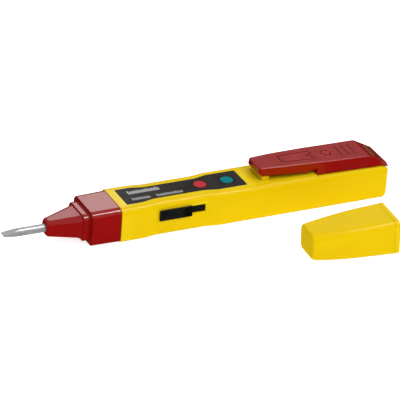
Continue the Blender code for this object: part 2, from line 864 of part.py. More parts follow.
def make_circuit_board(surface):
    board = boxes(
        "circuit_board",
        [
            (
                (at(BOARD[0]), -BOARD_HALF_WIDTH, BOARD_BOTTOM),
                (at(BOARD[1]), BOARD_HALF_WIDTH, BOARD_TOP),
            )
        ],
        surface,
    )
    places = led_legs(RED_WINDOW) + led_legs(GREEN_WINDOW) + switch_legs() + buzzer_legs()
    for distance, y in TRANSISTORS.values():
        places += transistor_legs(distance, y)
    for distance, y in CAPACITORS.values():
        places += capacitor_legs(distance, y)
    for front, y, length in RESISTORS.values():
        places += resistor_legs(front, y, length)
    holes = cylinders(
        "board_holes",
        [((at(x), y, BOARD_BOTTOM - 1 * MM), 4 * MM) for x, y in places],
        PIN_HOLE_RADIUS,
        segments=8,
    )
    cut(board, holes)


def make_resistor(name, front, y, length, surface):
    """Axial resistor: a body with swollen ends on leads bent down into the board."""
    rest = SEAT + 1.3 * MM
    body, swollen, lead = 0.95 * MM, 1.15 * MM, PIN_RADIUS
    inner, outer = length / 2 - 1.0 * MM, length / 2 + lead
    profile = [
        (0, outer),
        (lead, outer),
        (lead, inner),
        (swollen, inner),
        (swollen, inner - 1.0 * MM),
        (body, inner - 1.4 * MM),
        (body, 1.4 * MM - inner),
        (swollen, 1.0 * MM - inner),
        (swollen, -inner),
        (lead, -inner),
        (lead, -outer),
        (0, -outer),
    ]
    resistor = turned(name, profile, surface, steps=12)
    resistor.rotation_euler = (0, math.pi / 2, 0)
    resistor.location = (at(front + length / 2), y, rest)
    join(resistor, pins(f"{name}_legs", resistor_legs(front, y, length), rest + 0.1 * MM))


def make_transistor(name, distance, y, surface):
    """Plastic transistor with one flat side and three legs."""
    bottom, height, radius = SEAT + 1.6 * MM, 4.4 * MM, 2.2 * MM
    body = cylinders(name, [((at(distance), y, bottom), height)], radius, segments=20, surface=surface)
    flat = boxes(
        f"{name}_flat",
        [((at(distance) - 3 * MM, y + 1.1 * MM, 5 * MM), (at(distance) + 3 * MM, y + 3 * MM, 13 * MM))],
    )
    cut(body, flat)
    join(body, pins(f"{name}_legs", transistor_legs(distance, y), bottom + 0.5 * MM))


def make_capacitor(name, distance, y, surface):
    """Can capacitor with a crimped groove and two legs."""
    height, radius = 5.2 * MM, 2.0 * MM
    profile = [
        (0, SEAT + height),
        (radius - 0.2 * MM, SEAT + height),
        (radius, SEAT + height - 0.2 * MM),
        (radius, SEAT + 1.3 * MM),
        (radius - 0.25 * MM, SEAT + 1.0 * MM),
        (radius, SEAT + 0.7 * MM),
        (radius, SEAT),
        (0, SEAT),
    ]
    can = turned(name, profile, surface, place=(at(distance), y, 0), steps=16)
    join(can, pins(f"{name}_legs", capacitor_legs(distance, y), SEAT + 0.4 * MM))


def make_chip(surface):
    """Eight-legged chip behind the second window."""
    front, rear, half = 110.5 * MM, 116.5 * MM, 1.9 * MM
    low, high = SEAT + 0.3 * MM, SEAT + 1.9 * MM
    pitch, leg_half, leg_height = 1.5 * MM, 0.2 * MM, 0.6 * MM
    chip = boxes("control_chip", [((at(front), -half, low), (at(rear), half, high))], surface)
    legs = []
    for step in range(4):
        x = at(front + (step + 0.5) * pitch)
        for side in (-1, 1):
            near, far = sorted((side * (half - 0.2 * MM), side * (half + 1.1 * MM)))
            legs.append(((x - leg_half, near, SEAT), (x + leg_half, far, SEAT + leg_height)))
    join(chip, boxes("chip_legs", legs))


def make_buzzer(case_surface, disc_surface):
    """Round sounder: a case open underneath, with a thin disc across it."""
    bottom, top, wall = SEAT, 9.9 * MM, 0.8 * MM
    profile = [
        (1.0 * MM, top),
        (BUZZER_RADIUS, top),
        (BUZZER_RADIUS, bottom + 0.6 * MM),
        (BUZZER_RADIUS - wall, bottom + 0.6 * MM),
        (BUZZER_RADIUS - wall, top - wall),
        (1.0 * MM, top - wall),
    ]
    place = (at(BUZZER_CENTRE), 0, 0)
    turned("buzzer_case", profile, case_surface, place=place)
    radius = BUZZER_RADIUS - wall - 0.2 * MM
    disc = [(0, 8.2 * MM), (radius, 8.2 * MM), (radius, 7.8 * MM), (0, 7.8 * MM)]
    plate = turned("buzzer_disc", disc, disc_surface, place=place)
    join(plate, pins("buzzer_legs", buzzer_legs(), 8.0 * MM))


def coil_points(front, length, turns, radius, end_radius, axis_height, per_turn=10):
    """Points of a spring along +X whose radius changes evenly."""
    points = []
    count = turns * per_turn
    for step in range(count + 1):
        part = step / count
        reach = radius + (end_radius - radius) * part
        angle = 2 * math.pi * turns * part
        y, z = reach * math.cos(angle), axis_height + reach * math.sin(angle)
        points.append((at(front + length * part), y, z))
    return points


def make_springs(surface):
    front = BLADE_REAR + 0.55 * MM
    rear = BOARD[0] - 0.15 * MM
    points = coil_points(front, rear - front, 6, 1.3 * MM, 1.3 * MM, BLADE_AXIS)
    wire("blade_spring", points, 0.22 * MM, surface)
    first = SPRING_PLATE + 0.6 * MM + 0.6 * MM
    last = CELLS_FRONT - 0.6 * MM
    points = coil_points(first, last - first, 3, 4.0 * MM, 2.0 * MM, CELL_AXIS)
    wire("cell_spring", points, 0.28 * MM, surface)


def make_terminals(surface):
    """Plates that the springs and the cells press on."""
    boxes(
        "front_terminal",
        [((at(BOARD[0] + 0.3 * MM), -2.4 * MM, SEAT), (at(BOARD[0] + 0.9 * MM), 2.4 * MM, 8.8 * MM))],
        surface,
    )
    boxes(
        "spring_plate",
        [((at(SPRING_PLATE), -5.6 * MM, 1.9 * MM), (at(SPRING_PLATE) + 0.6 * MM, 5.6 * MM, 10.0 * MM))],
        surface,
    )
    rear = boxes(
        "rear_contact",
        [((at(152.3 * MM), -4.5 * MM, 3.2 * MM), (at(152.9 * MM), 4.5 * MM, 10.2 * MM))],
        surface,
    )
    tabs = boxes(
        "contact_tabs",
        [
            ((at(152.3 * MM), 3.9 * MM, 1.9 * MM), (at(152.9 * MM), 6.9 * MM, 4.2 * MM)),
            ((at(152.3 * MM), -1.5 * MM, 10.0 * MM), (at(152.9 * MM), 1.5 * MM, 13.2 * MM)),
        ],
    )
    join(rear, tabs)


def make_cells(surface):
    """Two button cells, each a can with a smaller cap towards the front."""
    for index in range(2):
        front = CELLS_FRONT + index * (CELL_LENGTH + GAP)
        profile = [
            (0, CELL_LENGTH),
            (CELL_RADIUS, CELL_LENGTH),
            (CELL_RADIUS, 0.9 * MM),
            (CELL_RADIUS - 0.7 * MM, 0.5 * MM),
            (CELL_RADIUS - 0.7 * MM, 0.3 * MM),
            (4.4 * MM, 0.3 * MM),
            (4.2 * MM, 0),
            (0, 0),
        ]
        cell = turned(f"cell_{index + 1}", profile, surface, steps=28)
        cell.rotation_euler = (0, math.pi / 2, 0)
        cell.location = (at(front), 0, CELL_AXIS)


def make_lead(surface):
    """Insulated lead from the rear cell contact to the underside of the board."""
    route = (
        (151.8, 6.1, 2.9),
        (150.6, 6.2, 2.7),
        (147.0, 6.2, 2.6),
        (142.0, 6.2, 2.6),
        (137.5, 6.2, 2.6),
        (134.9, 5.2, 2.5),
        (131.0, 4.8, 2.5),
        (127.0, 4.6, 2.5),
    )
    points = [(at(x * MM), y * MM, z * MM) for x, y, z in route]
    wire("cell_lead", points, 0.5 * MM, surface)
    rib_pass = boxes(
        "lead_pass",
        [((at(135.0 * MM), 4.2 * MM, 1.7 * MM), (at(138.0 * MM), 7.3 * MM, 3.5 * MM))],
    )
    cut(bpy.data.objects["barrel"], rib_pass)


def main():
    start_scene()
    yellow = material("yellow_plastic", (0.83, 0.58, 0.0), 0.3)
    red = material("red_plastic", (0.33, 0.01, 0.01), 0.25)
    black = material("black_plastic", (0.015, 0.015, 0.018), 0.4)
    film = material("label_film", (0.03, 0.028, 0.04), 0.35)
    steel = material("steel", (0.55, 0.55, 0.56), 0.25, metallic=1.0)
    nickel = material("nickel", (0.62, 0.6, 0.56), 0.3, metallic=1.0)
    brass = material("brass", (0.62, 0.42, 0.16), 0.3, metallic=1.0)
    red_clear = material("red_lens", (0.6, 0.05, 0.08), 0.15, transmission=0.3)
    green_clear = material("green_lens", (0.0, 0.24, 0.26), 0.15, transmission=0.3)
    laminate = material("board_laminate", (0.03, 0.2, 0.06), 0.45)
    beige = material("resistor_coat", (0.6, 0.5, 0.33), 0.5)
    blue = material("can_sleeve", (0.03, 0.05, 0.25), 0.4)
    lead_red = material("lead_insulation", (0.5, 0.02, 0.02), 0.45)

    make_barrel(yellow)
    make_label(film)
    make_nose(red)
    make_blade(steel)
    make_battery_cover(red)
    make_touch_contact(brass)
    make_guard(yellow)
    make_lens("red_lens", RED_WINDOW, red_clear)
    make_lens("green_lens", GREEN_WINDOW, green_clear)
    make_led("red_led", RED_WINDOW, red_clear)
    make_led("green_led", GREEN_WINDOW, green_clear)
    make_knob(black)
    make_slide_switch(nickel, black)
    make_circuit_board(laminate)
    for name, (front, y, length) in RESISTORS.items():
        make_resistor(name, front, y, length, beige)
    for name, (distance, y) in TRANSISTORS.items():
        make_transistor(name, distance, y, black)
    for name, (distance, y) in CAPACITORS.items():
        make_capacitor(name, distance, y, blue)
    make_chip(black)
    make_buzzer(black, brass)
    make_springs(steel)
    make_terminals(nickel)
    make_cells(nickel)
    make_lead(lead_red)


main()
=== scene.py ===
"""Looks of a pen-shaped voltage tester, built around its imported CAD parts.

Shapes are made in millimetres, counted along the pen from the blade's tip, and
are moved into the frame's metres when a piece is finished.
"""

import json
import math

import bmesh
import bpy
from mathutils import Matrix, Vector


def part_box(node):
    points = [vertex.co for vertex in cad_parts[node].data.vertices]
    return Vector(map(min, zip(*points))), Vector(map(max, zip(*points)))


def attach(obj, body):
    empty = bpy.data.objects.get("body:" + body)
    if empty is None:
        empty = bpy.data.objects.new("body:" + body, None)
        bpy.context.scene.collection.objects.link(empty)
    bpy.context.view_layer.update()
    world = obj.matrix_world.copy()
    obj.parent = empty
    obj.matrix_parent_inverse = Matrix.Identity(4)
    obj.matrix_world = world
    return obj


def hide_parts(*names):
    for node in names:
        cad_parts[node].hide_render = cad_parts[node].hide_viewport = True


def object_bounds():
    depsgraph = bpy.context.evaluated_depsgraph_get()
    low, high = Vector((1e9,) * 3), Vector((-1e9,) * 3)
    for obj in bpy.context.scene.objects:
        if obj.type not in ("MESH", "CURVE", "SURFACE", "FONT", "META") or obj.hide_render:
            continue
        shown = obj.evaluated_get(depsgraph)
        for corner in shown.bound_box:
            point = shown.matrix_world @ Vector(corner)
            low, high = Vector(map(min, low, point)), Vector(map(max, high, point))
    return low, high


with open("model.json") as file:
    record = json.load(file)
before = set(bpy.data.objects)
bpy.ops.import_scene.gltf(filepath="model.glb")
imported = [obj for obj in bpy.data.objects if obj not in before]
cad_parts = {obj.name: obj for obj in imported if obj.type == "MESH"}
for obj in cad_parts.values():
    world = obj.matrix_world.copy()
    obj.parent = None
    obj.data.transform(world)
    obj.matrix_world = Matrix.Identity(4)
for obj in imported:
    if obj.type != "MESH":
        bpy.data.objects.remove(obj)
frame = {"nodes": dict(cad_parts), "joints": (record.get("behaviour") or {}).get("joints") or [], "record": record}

CAD_BOUNDS = [list(corner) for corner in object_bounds()]
MM = 0.001
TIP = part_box("blade")[0].x


def span(node, axis):
    """Lowest and highest millimetre of a CAD node on an axis, x being counted from the tip."""
    low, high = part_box(node)
    zero = TIP if axis == 0 else 0.0
    return (low[axis] - zero) / MM, (high[axis] - zero) / MM


def middle(node, axis):
    return sum(span(node, axis)) / 2


# Sizes and places read from the frame.
BARREL_FRONT, REAR = span("barrel", 0)
HALF_WIDTH = span("barrel", 1)[1]
TOP = span("label", 2)[1]
LABEL_FRONT, LABEL_REAR = span("label", 0)
LABEL_HALF = span("label", 1)[1]
NOSE_FRONT, SPIGOT_REAR = span("nose_piece", 0)
COLLAR_REAR = BARREL_FRONT - 0.08
WINDOWS = (middle("red_lens", 0), middle("green_lens", 0))
BLADE_AXIS = middle("blade", 2)
BLADE_REAR = span("blade", 0)[1]
CLIP_FRONT, COVER_REAR = span("battery_cover", 0)
SHUTTER = span("switch_knob", 0)
PAD_FACE, SHUTTER_BACK = span("switch_knob", 1)

# Sizes that belong to the shapes' own drawing.
WALL = 1.5
TOP_RADIUS = 2.4
BOTTOM_RADIUS = 1.8
WAIST = (52.0, 59.0, 78.0, 85.0)
WAIST_DEPTH = 0.85
LABEL_WAIST_DEPTH = 1.2
SLOT = (59.2, 78.0)
SLOT_HEIGHTS = (7.2, 10.4)
SLOT_WALL = 0.7
PAD = (59.0, 72.1)
SWITCH_TRAVEL = 6.0
GUARD_HEIGHT = 13.6
GUARD_LEAN = 0.07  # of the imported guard's ends, in millimetres for each millimetre down
GUARD_END_LEAN = 0.05  # of the ends drawn here
DECK = 13.35
COVER_FRONT = 124.8
LIP_FRONT = 151.6
WINDOW_RADIUS = 2.5
SLOPE = (18.1 - 13.9) / (154.8 - 147.0)
STRIP_PLACE = Matrix.Translation((150.6, 0, 16.2)) @ Matrix.Rotation(math.atan(SLOPE), 4, "Y")


# ------------------------------------------------------------- mesh helpers


def add_object(name, mesh):
    obj = bpy.data.objects.new(name, mesh)
    bpy.context.scene.collection.objects.link(obj)
    return obj


def from_bmesh(name, shape):
    bmesh.ops.recalc_face_normals(shape, faces=shape.faces)
    mesh = bpy.data.meshes.new(name)
    shape.to_mesh(mesh)
    shape.free()
    return add_object(name, mesh)


def bake(obj):
    """Turns an object's modifiers into its mesh."""
    graph = bpy.context.evaluated_depsgraph_get()
    mesh = bpy.data.meshes.new_from_object(obj.evaluated_get(graph))
    old = obj.data
    obj.modifiers.clear()
    obj.data = mesh
    bpy.data.meshes.remove(old)
    return obj


def combine(target, others, operation):
    """Cuts or joins other solids into the target, and removes them."""
    for other in others:
        modifier = target.modifiers.new(other.name, "BOOLEAN")
        modifier.operation = operation
        modifier.solver = "EXACT"
        modifier.object = other
    bake(target)
    for other in others:
        bpy.data.objects.remove(other)
    return target


def cut(target, *others):
    return combine(target, others, "DIFFERENCE")


def join(target, *others):
    return combine(target, others, "UNION")


def soften(obj, width, angle=40, segments=3):
    """Rounds every edge sharper than angle."""
    bevel = obj.modifiers.new("soften", "BEVEL")
    bevel.width = width
    bevel.segments = segments
    bevel.limit_method = "ANGLE"
    bevel.angle_limit = math.radians(angle)
    bevel.miter_outer = "MITER_ARC"
    return bake(obj)


def finish(obj, body, slot, surface, *nodes, smooth_below=40):
    """Moves a piece from millimetres into the frame, and says what it rides on and replaces."""
    obj.data.transform(Matrix.Translation((TIP, 0, 0)) @ Matrix.Diagonal((MM, MM, MM, 1)))
    obj.data.materials.clear()
    obj.data.materials.append(surface)
    obj.data.shade_smooth()
    obj.data.set_sharp_from_angle(angle=math.radians(smooth_below))
    weighted = obj.modifiers.new("face_weight", "WEIGHTED_NORMAL")
    weighted.keep_sharp = True
    weighted.weight = 60
    bake(obj)
    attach(obj, body)
    if nodes:
        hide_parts(*nodes)
    return obj


def arc(centre, radius, start, end, steps):
    """Points (y, z) along an arc, its angles in degrees."""
    turns = [math.radians(start + (end - start) * step / steps) for step in range(steps + 1)]
    return [(centre[0] + radius * math.cos(t), centre[1] + radius * math.sin(t)) for t in turns]


def rounded_section(half, bottom, top, top_radius, bottom_radius, steps=8):
    """Points (y, z) round a rectangle with rounded corners, centred on y = 0."""
    right, left = half - top_radius, top_radius - half
    low_right, low_left = half - bottom_radius, bottom_radius - half
    return (
        arc((right, top - top_radius), top_radius, 0, 90, steps)
        + arc((left, top - top_radius), top_radius, 90, 180, steps)
        + arc((low_left, bottom + bottom_radius), bottom_radius, 180, 270, steps)
        + arc((low_right, bottom + bottom_radius), bottom_radius, 270, 360, steps)
    )


def loft(name, stations):
    """A closed solid through sections (x, ring of (y, z)), flat at both ends."""
    shape = bmesh.new()
    rings = [[shape.verts.new((x, y, z)) for y, z in ring] for x, ring in stations]
    for first, second in zip(rings, rings[1:]):
        count = len(first)
        for index in range(count):
            after = (index + 1) % count
            shape.faces.new((first[index], first[after], second[after], second[index]))
    shape.faces.new(rings[0])
    shape.faces.new(rings[-1])
    return from_bmesh(name, shape)


def boxes(name, extents):
    """Separate boxes, each given by its lowest and highest corner."""
    shape = bmesh.new()
    for low, high in extents:
        low, high = Vector(low), Vector(high)
        place = Matrix.Translation((low + high) / 2) @ Matrix.Diagonal((*(high - low), 1.0))
        bmesh.ops.create_cube(shape, size=1.0, matrix=place)
    return from_bmesh(name, shape)


def cylinders(name, places, radius, length, segments=32, turn=Matrix.Identity(4)):
    """Separate cylinders, each centred on its place and standing along Z before it is turned."""
    shape = bmesh.new()
    for place in places:
        bmesh.ops.create_cone(
            shape,
            cap_ends=True,
            segments=segments,
            radius1=radius,
            radius2=radius,
            depth=length,
            matrix=Matrix.Translation(place) @ turn,
        )
    return from_bmesh(name, shape)


def turned(name, profile, steps=64):
    """A solid turned about Z from (radius, height) points that start and end on the axis."""
    shape = bmesh.new()
    rings = []
    for radius, height in profile:
        if radius == 0:
            rings.append([shape.verts.new((0, 0, height))])
            continue
        turns = [2 * math.pi * step / steps for step in range(steps)]
        ring = [shape.verts.new((radius * math.cos(t), radius * math.sin(t), height)) for t in turns]
        rings.append(ring)
    for first, second in zip(rings, rings[1:]):
        for index in range(steps):
            after = (index + 1) % steps
            corners = [first[index % len(first)], first[after % len(first)]]
            corners += [second[after % len(second)], second[index % len(second)]]
            shape.faces.new(list(dict.fromkeys(corners)))
    return from_bmesh(name, shape)


def blend_stations(stations, per_gap=6):
    """Reads a smooth curve through stations of equal-length numbers, the first being the distance."""
    result = []
    last = len(stations) - 1
    for index in range(last):
        before, here = stations[max(index - 1, 0)], stations[index]
        there, after = stations[index + 1], stations[min(index + 2, last)]
        gap = there[0] - here[0]
        for step in range(per_gap):
            t = step / per_gap
            row = [here[0] + gap * t]
            for item in range(1, len(here)):
                lead = (there[item] - before[item]) / (there[0] - before[0]) * gap
                trail = (after[item] - here[item]) / (after[0] - here[0]) * gap
                row.append(
                    (2 * t**3 - 3 * t**2 + 1) * here[item]
                    + (t**3 - 2 * t**2 + t) * lead
                    + (3 * t**2 - 2 * t**3) * there[item]
                    + (t**3 - t**2) * trail
                )
            result.append(tuple(row))
    return result + [tuple(stations[-1])]


# ---------------------------------------------------------------- materials


def new_material(name):
    made = bpy.data.materials.new(name)
    made.use_nodes = True
    return made, made.node_tree, made.node_tree.nodes["Principled BSDF"]


def noise(tree, scale, detail=3.0, stretch=(1, 1, 1)):
    """Noise with that many cycles a metre in the object's own space."""
    place = tree.nodes.new("ShaderNodeTexCoord")
    mapping = tree.nodes.new("ShaderNodeMapping")
    mapping.inputs["Scale"].default_value = stretch
    made = tree.nodes.new("ShaderNodeTexNoise")
    made.inputs["Scale"].default_value = scale
    made.inputs["Detail"].default_value = detail
    tree.links.new(place.outputs["Object"], mapping.inputs["Vector"])
    tree.links.new(mapping.outputs["Vector"], made.inputs["Vector"])
    return made.outputs["Fac"]


def remap(tree, value, low, high, to_low, to_high):
    made = tree.nodes.new("ShaderNodeMapRange")
    for name, number in zip(("From Min", "From Max", "To Min", "To Max"), (low, high, to_low, to_high)):
        made.inputs[name].default_value = number
    tree.links.new(value, made.inputs["Value"])
    return made.outputs["Result"]


def mix(tree, factor, first, second):
    """Mixes two colours, each a tuple or a socket."""
    made = tree.nodes.new("ShaderNodeMix")
    made.data_type = "RGBA"
    tree.links.new(factor, made.inputs["Factor"])
    for socket, colour in zip(("A", "B"), (first, second)):
        target = [i for i in made.inputs if i.name == socket and i.type == "RGBA"][0]
        if isinstance(colour, tuple):
            target.default_value = (*colour, 1.0)
        else:
            tree.links.new(colour, target)
    return [o for o in made.outputs if o.type == "RGBA"][0]


def add_values(tree, first, second):
    made = tree.nodes.new("ShaderNodeMath")
    made.operation = "ADD"
    tree.links.new(first, made.inputs[0])
    tree.links.new(second, made.inputs[1])
    return made.outputs[0]


def bump(tree, shader, height, distance):
    made = tree.nodes.new("ShaderNodeBump")
    made.inputs["Distance"].default_value = distance
    tree.links.new(height, made.inputs["Height"])
    tree.links.new(made.outputs["Normal"], shader.inputs["Normal"])


def edges(tree, low, high):
    """0 on flats and hollows, 1 on raised edges."""
    geometry = tree.nodes.new("ShaderNodeNewGeometry")
    return remap(tree, geometry.outputs["Pointiness"], low, high, 0.0, 1.0)


def scratches(tree, amount):
    """Faint hairlines along the pen: 0 almost everywhere."""
    lines = noise(tree, 55, 2.0, (1, 28, 28))
    return remap(tree, lines, 0.66, 0.74, 0.0, amount)


def plastic(name, colour, shade, worn, roughness, specular, grain, subsurface=0.0):
    """Moulded plastic: faint flow marks, hairline scratches, rubbed edges and a fine skin."""
    made, tree, shader = new_material(name)
    flow = remap(tree, noise(tree, 38, 2.5, (1, 2, 2)), 0.35, 0.65, 0.0, 1.0)
    base = mix(tree, flow, shade, colour)
    base = mix(tree, edges(tree, 0.53, 0.62), base, worn)
    tree.links.new(base, shader.inputs["Base Color"])
    skin = noise(tree, 2600, 3.0)
    satin = remap(tree, noise(tree, 420, 4.0), 0.3, 0.7, roughness * 0.85, roughness * 1.2)
    tree.links.new(add_values(tree, satin, scratches(tree, 0.12)), shader.inputs["Roughness"])
    bump(tree, shader, skin, grain)
    shader.inputs["Specular IOR Level"].default_value = specular
    if subsurface:
        shader.inputs["Subsurface Weight"].default_value = subsurface
        shader.inputs["Subsurface Scale"].default_value = 0.002
        shader.inputs["Subsurface Radius"].default_value = (1.0, 0.35, 0.05)
    return made


def metal(name, colour, dark, roughness, stretch, metallic=1.0):
    """Drawn or ground metal, its marks stretched along one direction."""
    made, tree, shader = new_material(name)
    lines = noise(tree, 260, 5.0, stretch)
    spots = noise(tree, 150, 3.0)
    tone = remap(tree, add_values(tree, lines, spots), 0.7, 1.3, 0.0, 1.0)
    tree.links.new(mix(tree, tone, dark, colour), shader.inputs["Base Color"])
    satin = remap(tree, lines, 0.3, 0.7, roughness * 0.8, roughness * 1.3)
    tree.links.new(satin, shader.inputs["Roughness"])
    bump(tree, shader, lines, 0.00001)
    shader.inputs["Metallic"].default_value = metallic
    return made


def lens_plastic(name, colour, deep):
    """Tinted indicator plastic, lit from within by a little scattering."""
    roughness = 0.35
    made, tree, shader = new_material(name)
    cloud = remap(tree, noise(tree, 500, 3.0), 0.3, 0.7, 0.0, 1.0)
    tree.links.new(mix(tree, cloud, deep, colour), shader.inputs["Base Color"])
    satin = remap(tree, noise(tree, 1800, 3.0), 0.3, 0.7, roughness * 0.8, roughness * 1.3)
    tree.links.new(satin, shader.inputs["Roughness"])
    bump(tree, shader, noise(tree, 2200, 2.0), 0.00001)
    shader.inputs["Specular IOR Level"].default_value = 0.05
    shader.inputs["Subsurface Weight"].default_value = 0.2
    shader.inputs["Subsurface Scale"].default_value = 0.001
    return made


def laminate(name):
    """Circuit board: woven glass under a green mask."""
    made, tree, shader = new_material(name)
    weave = add_values(tree, noise(tree, 900, 1.0, (1, 6, 1)), noise(tree, 900, 1.0, (6, 1, 1)))
    tone = remap(tree, weave, 0.8, 1.2, 0.0, 1.0)
    tree.links.new(mix(tree, tone, (0.012, 0.09, 0.03), (0.025, 0.16, 0.05)), shader.inputs["Base Color"])
    tree.links.new(remap(tree, weave, 0.8, 1.2, 0.3, 0.45), shader.inputs["Roughness"])
    bump(tree, shader, weave, 0.00001)
    return made


# Each plastic's colour, darker shade and rubbed edge.
RED = ((0.27, 0.004, 0.003), (0.25, 0.003, 0.002), (0.32, 0.01, 0.01))
YELLOW = ((0.73, 0.5, 0.0), (0.71, 0.48, 0.0), (0.76, 0.54, 0.005))
BLACK = ((0.004, 0.004, 0.004), (0.003, 0.003, 0.003), (0.01, 0.01, 0.01))
FILM = ((0.016, 0.01, 0.008), (0.012, 0.008, 0.006), (0.024, 0.02, 0.018))
PRINT = ((0.5, 0.5, 0.47), (0.4, 0.4, 0.38), (0.55, 0.55, 0.55))
LACQUER = ((0.55, 0.44, 0.27), (0.45, 0.35, 0.2), (0.7, 0.6, 0.4))
SLEEVE = ((0.02, 0.03, 0.2), (0.015, 0.02, 0.14), (0.1, 0.12, 0.35))
INSULATION = ((0.45, 0.015, 0.015), (0.35, 0.01, 0.01), (0.55, 0.05, 0.05))


def make_materials():
    """Every surface by name. A plastic's numbers are its roughness, specular level and grain."""
    along, across, everywhere = (1, 40, 40), (3, 40, 3), (3, 3, 3)
    recipes = (
        ("yellow_plastic", plastic, (*YELLOW, 0.16, 0.1, 0.000004, 0.25)),
        ("red_plastic", plastic, (*RED, 0.08, 0.45, 0.000003)),
        ("clip_plastic", plastic, (*RED, 0.1, 0.42, 0.000008)),
        ("black_plastic", plastic, (*BLACK, 0.4, 0.1, 0.00001)),
        ("label_film", plastic, (*FILM, 0.35, 0.1, 0.000008)),
        ("label_print", plastic, (*PRINT, 0.5, 0.15, 0.00001)),
        ("blade_steel", metal, ((0.58, 0.58, 0.58), (0.3, 0.3, 0.3), 0.25, along, 0.4)),
        ("spring_steel", metal, ((0.6, 0.6, 0.62), (0.4, 0.4, 0.42), 0.25, everywhere)),
        ("nickel", metal, ((0.7, 0.68, 0.63), (0.55, 0.53, 0.5), 0.22, everywhere)),
        ("brass", metal, ((0.8, 0.46, 0.17), (0.65, 0.35, 0.1), 0.3, across)),
        ("red_lens", lens_plastic, ((0.5, 0.04, 0.05), (0.42, 0.025, 0.035))),
        ("green_lens", lens_plastic, ((0.0, 0.2, 0.22), (0.0, 0.15, 0.17))),
        ("board_laminate", laminate, ()),
        ("resistor_coat", plastic, (*LACQUER, 0.45, 0.4, 0.00002)),
        ("can_sleeve", plastic, (*SLEEVE, 0.35, 0.4, 0.00001)),
        ("lead_insulation", plastic, (*INSULATION, 0.5, 0.3, 0.00002)),
    )
    return {name: make(name, *numbers) for name, make, numbers in recipes}


# ------------------------------------------------------------- outer pieces


def smooth_step(value):
    value = min(max(value, 0.0), 1.0)
    return value * value * (3 - 2 * value)


def waist_dip(x, depth=WAIST_DEPTH):
    """How far the waist draws the sides in at this distance from the tip."""
    start, full, leave, end = WAIST
    return depth * (smooth_step((x - start) / (full - start)) - smooth_step((x - leave) / (end - leave)))


def waist_distances(front, rear, steps=14):
    start, full, leave, end = WAIST
    ramps = [start + (full - start) * step / steps for step in range(steps + 1)]
    ramps += [leave + (end - leave) * step / steps for step in range(steps + 1)]
    return [front] + [x for x in ramps if front < x < rear] + [rear]


def barrel_section(x, inset=0.0):
    return rounded_section(
        HALF_WIDTH - waist_dip(x) - inset, inset, TOP - inset, TOP_RADIUS - inset, BOTTOM_RADIUS - inset
    )


def label_plate(name, margin, bottom, top):
    """A plate on the top face with a waist of its own."""
    stations = []
    for x in waist_distances(LABEL_FRONT - margin, LABEL_REAR + margin):
        half = LABEL_HALF - waist_dip(x, LABEL_WAIST_DEPTH) + margin
        stations.append((x, [(half, bottom), (half, top), (-half, top), (-half, bottom)]))
    return loft(name, stations)


def window_cutters(name, radius, bottom, top):
    height = top - bottom
    return cylinders(name, [(x, 0, (top + bottom) / 2) for x in WINDOWS], radius, height, 64)


def flat_block(low):
    """Points (y, z) of everything above a height, across the barrel."""
    return [(10, low), (10, TOP + 1), (-10, TOP + 1), (-10, low)]


def lip_curve(gap):
    """The barrel's rounded top rear edge as (x, height), and the cover's lip that gap above it."""
    reach, drop, steps = 2.9, 1.05, 8
    sweep, full_sink = 0.94, 0.66
    past_rear = 156.0
    points = []
    for step in range(steps + 1):
        part = step / steps
        sink = 1 - math.sqrt(1 - (sweep * part) ** 2)
        points.append((LIP_FRONT + reach * part, DECK + gap - drop * sink / full_sink))
    return points + [(past_rear, points[-1][1])]


def make_barrel(surfaces):
    """Waisted sleeve, open at the front, with a deck and a T-slot for the cover at the rear."""
    rear_radius = 1.6
    stations = [(x, barrel_section(x)) for x in waist_distances(BARREL_FRONT, REAR - rear_radius)]
    steps = 8
    for step in range(1, steps + 1):
        turn = math.radians(90 * step / steps)
        inset = rear_radius * (1 - math.cos(turn))
        ring = rounded_section(HALF_WIDTH - 0.5 * inset, inset, TOP, TOP_RADIUS, BOTTOM_RADIUS)
        stations.append((REAR - rear_radius * (1 - math.sin(turn)), ring))
    barrel = loft("barrel_moulding", stations)

    inside = [(x, barrel_section(x, WALL)) for x in waist_distances(BARREL_FRONT - 2, REAR - 1.3)]
    cavity = loft("cavity", inside)
    deck = boxes("deck", [((COVER_FRONT - 0.3, -10, DECK), (REAR + 2, 10, TOP + 1))])
    bay_front, bay_half, entry_half = 126.2, 6.5, 7.35
    opening = boxes("opening", [((bay_front, -bay_half, 10.75), (REAR + 2, bay_half, TOP + 1))])
    runner = boxes("runner", [((REAR - 3, -entry_half, 10.3), (REAR + 2, entry_half, 11.75))])
    slot = boxes("slot", [((SLOT[0], -10, SLOT_HEIGHTS[0]), (SLOT[1], -5, SLOT_HEIGHTS[1]))])
    way_low = (SHUTTER[0] - 0.3, WAIST_DEPTH - HALF_WIDTH + SLOT_WALL, SLOT_HEIGHTS[0] - 1.3)
    way_high = (SHUTTER[1] + SWITCH_TRAVEL + 0.3, -5, SLOT_HEIGHTS[1] + 1.3)
    shutter_way = boxes("shutter_way", [(way_low, way_high)])
    recess = label_plate("recess", 0.12, TOP - 0.45, TOP + 1)
    windows = window_cutters("windows", WINDOW_RADIUS + 0.12, TOP - 3, TOP + 1)
    lip_room = loft("lip_room", [(x, flat_block(low)) for x, low in lip_curve(0.0)])
    cut(barrel, cavity, deck, opening, runner, slot, shutter_way, recess, windows, lip_room)

    ridge = boxes("ridge", [((102.6, -4.9, TOP - WALL / 2), (105.6, 4.9, 15.5))])
    rib = boxes("rib", [((135.9, -8.4, 1.0), (136.7, 8.4, 9.0))])
    lead_pass = boxes("lead_pass", [((135.0, 4.2, 1.7), (138.0, 7.3, 3.5))])
    join(barrel, ridge, rib)
    cut(barrel, lead_pass)
    soften(barrel, 0.22)
    finish(barrel, "barrel_body", "yellow_plastic", surfaces["yellow_plastic"], "barrel")


